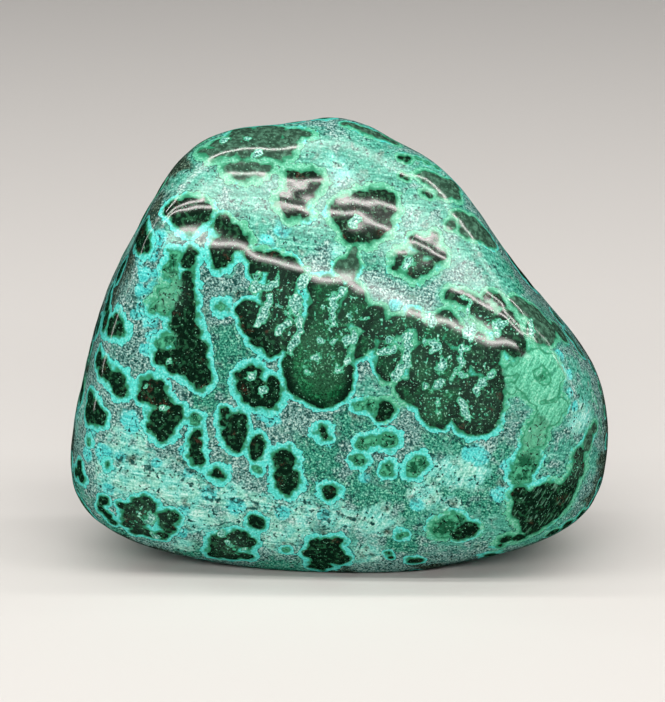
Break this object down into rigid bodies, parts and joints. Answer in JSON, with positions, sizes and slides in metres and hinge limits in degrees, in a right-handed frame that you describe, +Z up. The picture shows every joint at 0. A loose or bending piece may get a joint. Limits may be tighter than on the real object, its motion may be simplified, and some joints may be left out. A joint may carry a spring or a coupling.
{
  "type": "malachite specimen",
  "caption": "Hand-polished free-form stone of malachite and chrysocolla that stands on a flat cut base.",
  "frame": {"origin": "middle of the stone's box at the plane of its flat cut base", "axes": "+Z up, -Y out of the front face, +X to the right as seen from the front, along the stone's width"},
  "size_m": [0.1006, 0.05, 0.0834],
  "materials": {
    "polished_malachite": "polished to a gloss"
  },
  "bodies": {
    "root": {"stone": "polished_malachite"}
  },
  "joints": []
}
